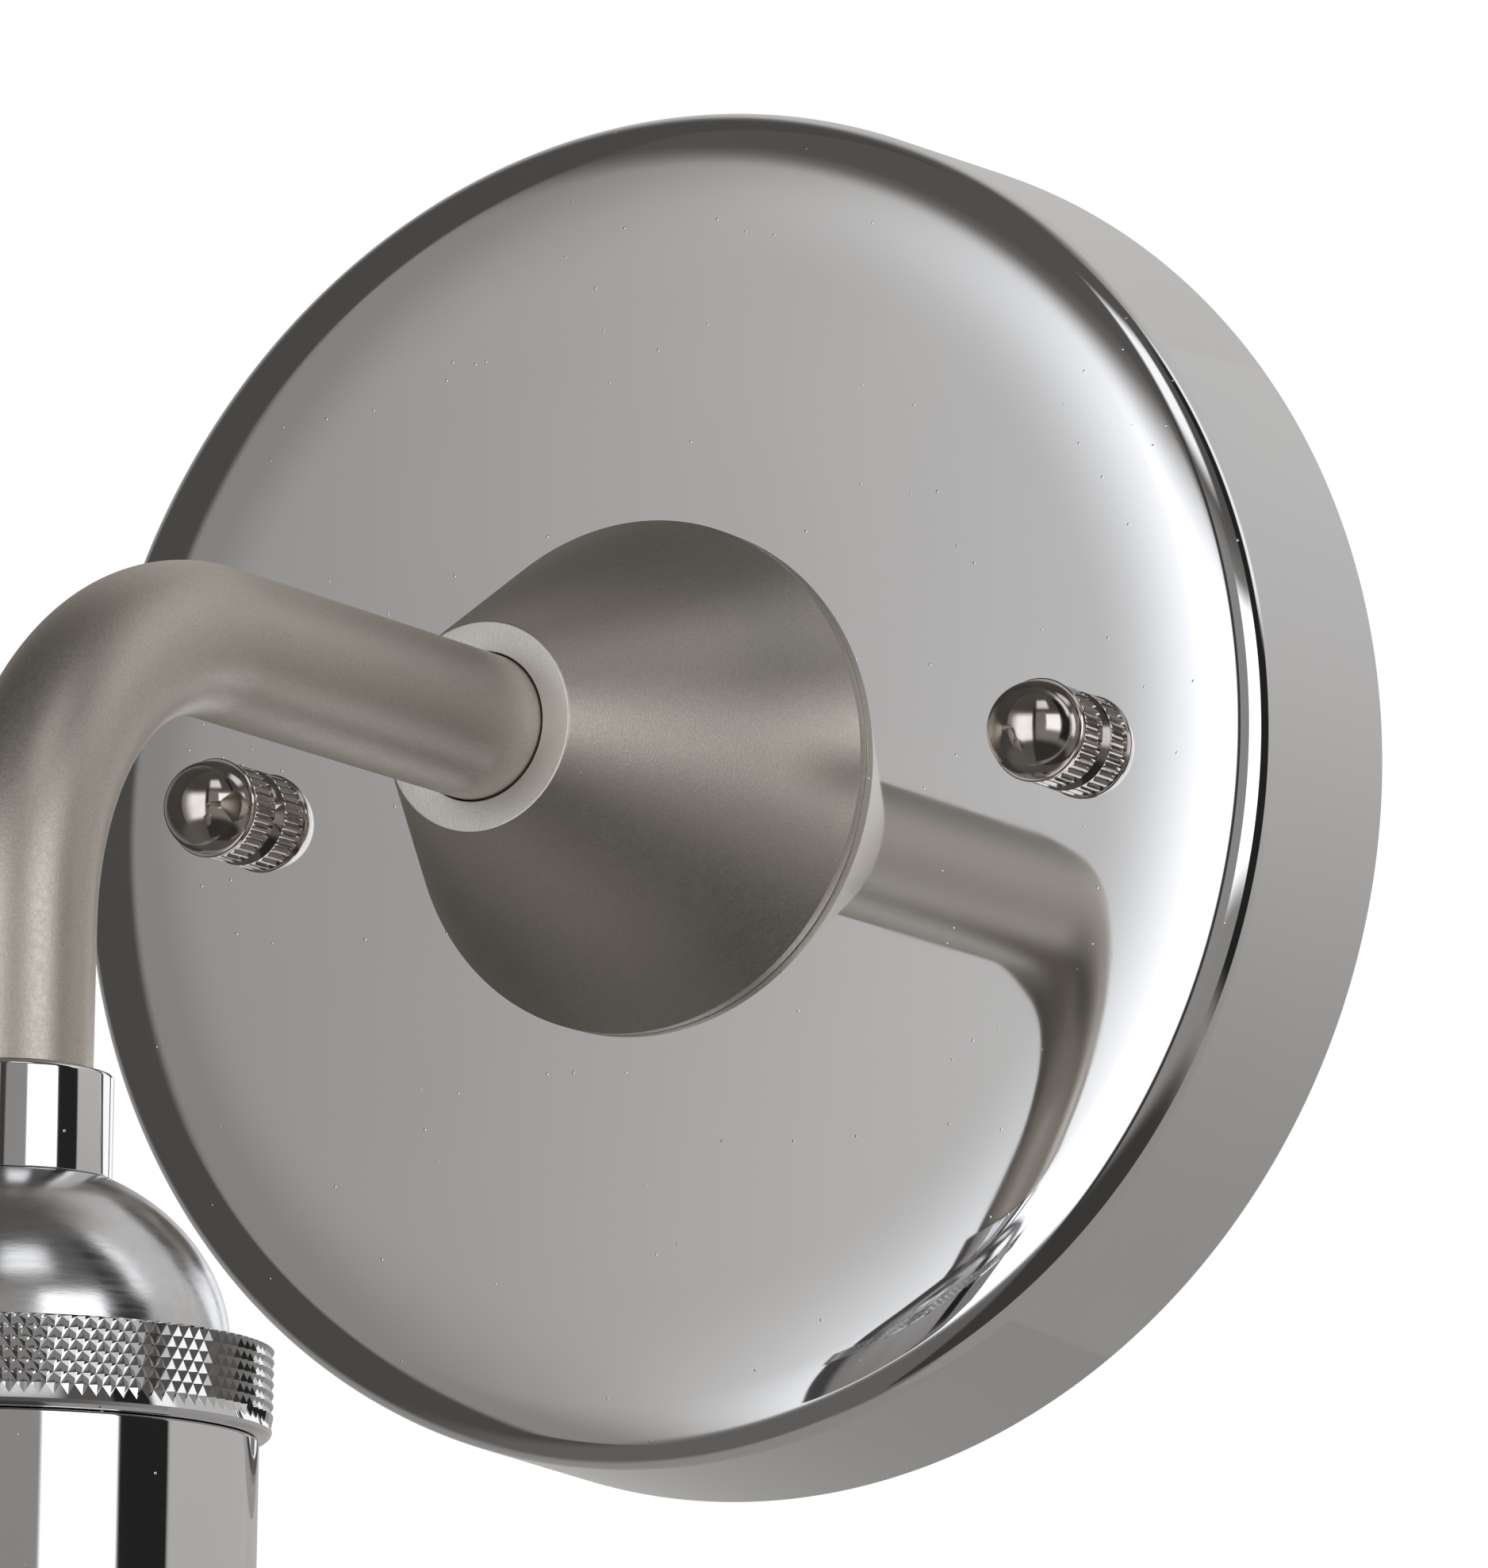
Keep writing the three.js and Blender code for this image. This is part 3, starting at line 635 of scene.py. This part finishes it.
stands_for("ball_nut_left", make_ball_nut(-FIXING_X), 25)
stands_for("ball_nut_right", make_ball_nut(FIXING_X), 25)


# ---- Lampholder ----

RING_FOOT = low("knurled_ring").z + 0.5 * MM


def make_collar():
    r = radius_of("socket_collar")
    bottom = low("socket_collar").z
    top = high("socket_collar").z
    bore = radius_of("socket_nipple") + 0.15 * MM
    corners = [
        (bore, bottom, 0),
        (r, bottom, 0.1 * MM),
        (r, top, 0.35 * MM),
        (bore, top, 0),
    ]
    return turned_mesh("socket_collar", filleted(corners, 5), 192, upright)


def make_cap():
    """The domed cap: an ellipse in section, with a flat top and a flange that the ring holds down."""
    top = high("socket_cap").z
    ring_top = high("knurled_ring").z
    bottom = low("socket_cap").z
    wall = 1.0 * MM
    skirt = 1.4 * MM
    r = 17.3 * MM
    curve = 14.5 * MM
    flange = radius_of("socket_cap")
    bore = radius_of("socket_nipple") + 0.15 * MM
    first = math.acos((top - ring_top) / curve)

    def side(inset, steps):
        angles = [first + (math.pi / 2 - first) * k / steps for k in range(steps + 1)]
        return [
            Vector(((r - inset) * math.sin(a), ring_top + (curve - inset) * math.cos(a))) for a in angles
        ]

    inside = [p for p in side(wall, 40) if p.y < top - wall - 0.1 * MM]
    outline = [
        Vector((bore, top)),
        *side(0, 48),
        Vector((r, ring_top - skirt)),
        Vector((flange, ring_top - skirt)),
        Vector((flange, bottom)),
        Vector((r - wall, bottom)),
        *reversed(inside),
        Vector((bore, top - wall)),
    ]
    return turned_mesh("socket_cap", outline, 256, upright)


def make_ring():
    """The threaded ring, with a diamond knurl: rows of small pyramids, each row half a pitch round."""
    r = radius_of("knurled_ring")
    top = high("knurled_ring").z
    bottom = RING_FOOT
    lip_bore = 17.5 * MM
    bore = radius_of("socket_cup") - 0.9 * MM
    lip = 1.3 * MM
    around = 116
    row = 0.85 * MM
    rows = 7
    depth = 0.44 * MM
    knurl_top = top - 0.12 * MM
    knurl_bottom = knurl_top - rows * row
    wall = [Vector((r, knurl_bottom + row * k)) for k in range(rows + 1)]
    outline = [
        Vector((lip_bore, top)),
        Vector((lip_bore, top - lip)),
        Vector((bore, top - lip)),
        Vector((bore, bottom)),
        Vector((r - 0.72 * MM, bottom)),
        Vector((r - 0.5 * MM, bottom + 0.05 * MM)),
        Vector((r - 0.2 * MM, bottom + 0.3 * MM)),
        Vector((r - 0.08 * MM, bottom + 0.6 * MM)),
        *wall,
        Vector((r - 0.3 * MM, top)),
    ]

    def relief(angle, radius, height):
        if radius < r - 1e-7:
            return radius
        step = round((height - knurl_bottom) / row)
        column = round(angle * around / math.pi)
        if step == 0:
            return radius - depth * 0.4
        return radius - (depth if (step + column) % 2 else 0)

    return turned_mesh("knurled_ring", outline, 2 * around, upright, relief, True)


def make_cup():
    """The cup, stepped in at the top where the ring screws on."""
    r = radius_of("socket_cup")
    bottom = low("socket_cup").z
    top = high("socket_cup").z
    shoulder = RING_FOOT - 0.05 * MM
    neck = r - 1.1 * MM
    neck_bore = neck - 1.1 * MM
    bore = r - 1.2 * MM
    corners = [
        (neck_bore, top, 0),
        (neck, top, 0.2 * MM),
        (neck, shoulder, 0),
        (r, shoulder, 0.3 * MM),
        (r, bottom, 0.5 * MM),
        (bore, bottom, 0.3 * MM),
        (bore, shoulder - 2.2 * MM, 0.5 * MM),
        (neck_bore, shoulder - 1.2 * MM, 0),
    ]
    return turned_mesh("socket_cup", filleted(corners, 6), 256, upright)


def make_shell():
    """A lampholder screw shell with its rolled thread: a round wave that climbs as it turns."""
    r = radius_of("screw_shell")
    bottom = low("screw_shell").z
    top = high("screw_shell").z
    pitch = 3.63 * MM
    wave = 0.45 * MM
    wall = 0.35 * MM
    flange = 3.6 * MM
    rows = 64
    heights = [bottom + (top - bottom) * k / rows for k in range(rows + 1)]
    outer = [Vector((r, h)) for h in heights]
    inner = [Vector((r - wall, h)) for h in heights[:-1]]
    outline = [
        *outer,
        Vector((r - flange, top)),
        Vector((r - flange, top - wall)),
        *reversed(inner),
    ]

    def relief(angle, radius, height):
        if radius < r - 2 * wall:
            return radius
        fade = min(1, (height - bottom) / (1.5 * MM), (top - height) / (2.5 * MM))
        turn = (height - bottom) / pitch - angle / (2 * math.pi)
        return radius - wave * (1 - math.cos(2 * math.pi * turn)) * max(0, fade)

    return turned_mesh("screw_shell", outline, 160, upright, relief)


def make_insulator():
    """The porcelain body: a pocket for the shell below, and a narrower head up in the cap."""
    r = radius_of("insulator")
    bottom = low("insulator").z
    top = high("insulator").z
    neck = low("socket_cap").z - 0.3 * MM
    seat = high("screw_shell").z + 0.1 * MM
    bore = radius_of("screw_shell") + 0.15 * MM
    head = 12.5 * MM
    corners = [
        (0, seat, 0),
        (bore, seat, 0.2 * MM),
        (bore, bottom, 0.5 * MM),
        (r, bottom, 0.6 * MM),
        (r, neck, 0.8 * MM),
        (head, neck, 0.3 * MM),
        (head, top, 0.8 * MM),
        (0, top, 0),
    ]
    return turned_mesh("insulator", filleted(corners, 6), 128, upright)


def threaded_rod(name, radius, bore, start, end, place, pitch, depth, sides):
    """A rod or tube with a V thread that climbs as it turns. start and end are along the axis."""
    rows = max(8, round((end - start) / pitch * 6))
    wall = [Vector((radius, start + (end - start) * k / rows)) for k in range(rows + 1)]
    inner = [Vector((bore, end)), Vector((bore, start))]

    def relief(angle, r, height):
        if r < radius - 1e-7:
            return r
        fade = min(1, (height - start) / pitch, (end - height) / pitch)
        wave = triangle_wave((height - start) / pitch - angle / (2 * math.pi))
        return r - depth * (1 - wave) - depth * (1 - max(0, fade)) * 0.5

    return turned_mesh(name, [*wall, *inner], sides, place, relief)


stands_for("socket_collar", make_collar(), 40)
stands_for("socket_cap", make_cap(), 40, "spun_chrome")
stands_for("knurled_ring", make_ring(), 16)
stands_for("socket_cup", make_cup(), 40)
stands_for("screw_shell", make_shell(), 50)
stands_for("insulator", make_insulator(), 40)

stud_pitch = 0.79 * MM
stud_thread = 0.35 * MM
stud_sides = 40
for stud, x in (("fixing_stud_left", -FIXING_X), ("fixing_stud_right", FIXING_X)):
    start = -high(stud).y
    end = -low(stud).y
    mesh = threaded_rod(
        stud, radius_of(stud), 0.0, start, end, outward(x), stud_pitch, stud_thread, stud_sides
    )
    stands_for(stud, mesh, 25)

nipple_bore = 3.7 * MM
nipple_pitch = 0.94 * MM
nipple_thread = 0.4 * MM
nipple_sides = 64
for nipple, start, end, place in (
    ("arm_nipple", -high("arm_nipple").y, -low("arm_nipple").y, outward()),
    ("socket_nipple", low("socket_nipple").z, high("socket_nipple").z, upright),
):
    mesh = threaded_rod(
        nipple, radius_of(nipple), nipple_bore, start, end, place, nipple_pitch, nipple_thread,
        nipple_sides,
    )
    stands_for(nipple, mesh, 25)


# ---- Small pieces: the CAD shape with its edges eased ----


def eased(node, width):
    """A copy of a CAD node with bevelled edges."""
    weld = 0.002 * MM
    flat_angle = math.radians(1)
    edge_angle = math.radians(35)
    mesh = NODES[node].data.copy()
    made = bmesh.new()
    made.from_mesh(mesh)
    bmesh.ops.remove_doubles(made, verts=made.verts, dist=weld)
    bmesh.ops.dissolve_limit(made, angle_limit=flat_angle, verts=made.verts, edges=made.edges)
    edges = [e for e in made.edges if e.is_manifold and e.calc_face_angle(0) > edge_angle]
    bmesh.ops.bevel(
        made, geom=edges, offset=width, segments=2, profile=0.6, affect="EDGES", clamp_overlap=True
    )
    made.to_mesh(mesh)
    made.free()
    return mesh


# Each node's bevel, in millimetres.
EASED = {
    "mounting_crossbar": 0.25,
    "ground_screw": 0.2,
    "stud_nut_left": 0.25,
    "stud_nut_right": 0.25,
    "lock_nut": 0.3,
    "cap_nut": 0.3,
    "wire_bushing": 0.15,
    "stop_collar": 0.2,
    "cone_floor": 0.15,
    "socket_yoke": 0.15,
    "centre_contact": 0.1,
}
for node, width in EASED.items():
    stands_for(node, eased(node, width * MM), 30)

replaced = {n for o in bpy.data.objects for n in o.get("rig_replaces", [])}
for node, obj in NODES.items():
    if node not in replaced:
        slot = SLOT_OF[node]
        obj.data.materials.clear()
        obj.data.materials.append(FINISHES[slot])


# ---- Studio: light from all round, as seen in the polished parts ----

# Each card: azimuth (from, softness, to, softness), elevation likewise, in degrees, and its brightness.
# Later cards lie over earlier ones.
STUDIO_LEVEL = 0.29
STUDIO_CARDS = [
    ((-182, 1, 182, 1), (30, 16, 91, 1), 0.10),
    ((-104, 24, -42, 2), (-60, 30, 91, 1), 0.08),
    ((-182, 1, 182, 1), (-91, 1, -38, 16), 0.14),
    ((-24, 28, 20, 5), (-34, 10, 24, 16), 1.5),
    ((20, 5, 28, 3), (-50, 20, 40, 20), 0.05),
    ((28, 3, 52, 3), (-24, 20, 30, 20), 0.30),
    ((52, 3, 88, 3), (-8, 10, 26, 6), 1.75),
    ((30, 10, 62, 10), (40, 10, 60, 10), 1.2),
    ((88, 3, 115, 3), (-24, 10, 60, 10), 0.02),
    ((20, 10, 115, 3), (-91, 1, -34, 16), 0.05),
    ((115, 3, 182, 1), (-80, 10, 60, 40), 0.33),
    ((-182, 1, -118, 24), (-80, 10, 60, 40), 0.30),
    ((115, 3, 182, 1), (0, 70, 66, 30), 0.60),
    ((-182, 1, -135, 24), (0, 70, 66, 30), 0.58),
    ((109, 5, 121, 5), (24, 10, 60, 10), 1.1),
]


def build_world():
    """A world that polished parts see as cards of light all round, and the camera sees as white."""
    world = bpy.data.worlds.new("studio")
    bpy.context.scene.world = world
    world.use_nodes = True
    tree = world.node_tree
    tree.nodes.clear()
    links = tree.links

    def math_node(operation, a, b=None, c=None):
        node = tree.nodes.new("ShaderNodeMath")
        node.operation = operation
        for i, value in enumerate((a, b, c)):
            if value is None:
                continue
            if isinstance(value, (int, float)):
                node.inputs[i].default_value = value
            else:
                links.new(value, node.inputs[i])
        return node.outputs[0]

    def smooth(value, start, end):
        node = tree.nodes.new("ShaderNodeMapRange")
        node.interpolation_type = "SMOOTHSTEP"
        node.inputs["From Min"].default_value = start
        node.inputs["From Max"].default_value = end
        links.new(value, node.inputs["Value"])
        return node.outputs["Result"]

    coord = tree.nodes.new("ShaderNodeTexCoord")
    split = tree.nodes.new("ShaderNodeSeparateXYZ")
    links.new(coord.outputs["Generated"], split.inputs[0])
    # Azimuth 0 is straight out of the wall, 90 is to the right; both angles are in degrees.
    degrees = 180 / math.pi
    minus_y = math_node("MULTIPLY", split.outputs["Y"], -1)
    around = math_node("ARCTAN2", split.outputs["X"], minus_y)
    azimuth = math_node("MULTIPLY", around, degrees)
    elevation = math_node("MULTIPLY", math_node("ARCSINE", split.outputs["Z"]), degrees)

    def window(value, edges):
        """1 between the edges, fading to 0 across the softness of each."""
        start, start_soft, end, end_soft = edges
        rise = smooth(value, start - start_soft / 2, start + start_soft / 2)
        fall = smooth(value, end - end_soft / 2, end + end_soft / 2)
        return math_node("MULTIPLY", rise, math_node("SUBTRACT", 1, fall))

    level = math_node("ADD", STUDIO_LEVEL, 0)
    for across, upward, brightness in STUDIO_CARDS:
        mask = math_node("MULTIPLY", window(azimuth, across), window(elevation, upward))
        level = math_node("MULTIPLY_ADD", mask, math_node("SUBTRACT", brightness, level), level)

    # Dim parts of the studio are warm and bright parts are neutral.
    tint = tree.nodes.new("ShaderNodeMix")
    tint.data_type = "RGBA"
    tint.inputs["A"].default_value = (1.0, 0.965, 0.92, 1)
    tint.inputs["B"].default_value = (0.97, 0.985, 1.0, 1)
    links.new(smooth(level, 0.3, 0.95), tint.inputs["Factor"])

    studio = tree.nodes.new("ShaderNodeBackground")
    links.new(tint.outputs["Result"], studio.inputs["Color"])
    links.new(level, studio.inputs["Strength"])
    backdrop = tree.nodes.new("ShaderNodeBackground")
    backdrop.inputs["Color"].default_value = (1, 1, 1, 1)
    backdrop.inputs["Strength"].default_value = 1.0
    path = tree.nodes.new("ShaderNodeLightPath")
    mix = tree.nodes.new("ShaderNodeMixShader")
    output = tree.nodes.new("ShaderNodeOutputWorld")
    links.new(path.outputs["Is Camera Ray"], mix.inputs[0])
    links.new(studio.outputs[0], mix.inputs[1])
    links.new(backdrop.outputs[0], mix.inputs[2])
    links.new(mix.outputs[0], output.inputs["Surface"])


build_world()


def build_floor():
    """A wide pale floor, far enough below that the object can be seen from underneath."""
    radius = 8
    drop = 2.2
    mesh = bpy.data.meshes.new("floor")
    made = bmesh.new()
    bmesh.ops.create_circle(made, cap_ends=True, segments=96, radius=radius)
    made.to_mesh(mesh)
    made.free()
    floor = bpy.data.objects.new("floor", mesh)
    bpy.context.scene.collection.objects.link(floor)
    floor.location = (0, 0, low("socket_cup").z - drop)
    finish = Finish("pale_floor", (0.85, 0.85, 0.84), 0, 0.8)
    finish.vary_colour(finish.noise(3, 2), (0.83, 0.83, 0.82))
    finish.shader.inputs["Emission Color"].default_value = (1, 1, 0.995, 1)
    finish.shader.inputs["Emission Strength"].default_value = 0.72
    mesh.materials.append(finish.material)
    floor.visible_glossy = False
    floor.visible_diffuse = False


build_floor()

# ---- Camera ----


def place_camera():
    """The photograph's viewpoint: to the right of the wall's normal, a little below, slightly rolled."""
    azimuth = math.radians(30.41)
    elevation = math.radians(-10.416)
    roll = math.radians(0.75)
    distance = 873.1 * MM
    aim_right = -2.337 * MM
    aim_up = 3.124 * MM
    sensor = 36
    lens = 227.6176
    level = math.cos(elevation)
    back = Vector((math.sin(azimuth) * level, -math.cos(azimuth) * level, math.sin(elevation)))
    level_right = Vector((math.cos(azimuth), math.sin(azimuth), 0))
    level_up = back.cross(level_right)
    right = level_right * math.cos(roll) + level_up * math.sin(roll)
    up = level_up * math.cos(roll) - level_right * math.sin(roll)
    place = right * aim_right + up * aim_up + back * distance
    camera = bpy.data.objects.new("camera", bpy.data.cameras.new("camera"))
    bpy.context.scene.collection.objects.link(camera)
    turn = Matrix((right, up, back)).transposed().to_4x4()
    camera.matrix_world = Matrix.Translation(place) @ turn
    camera.data.sensor_width = sensor
    camera.data.lens = lens
    camera.data.clip_start = 0.01
    bpy.context.scene.camera = camera


place_camera()
bpy.context.scene.view_settings.view_transform = "Standard"
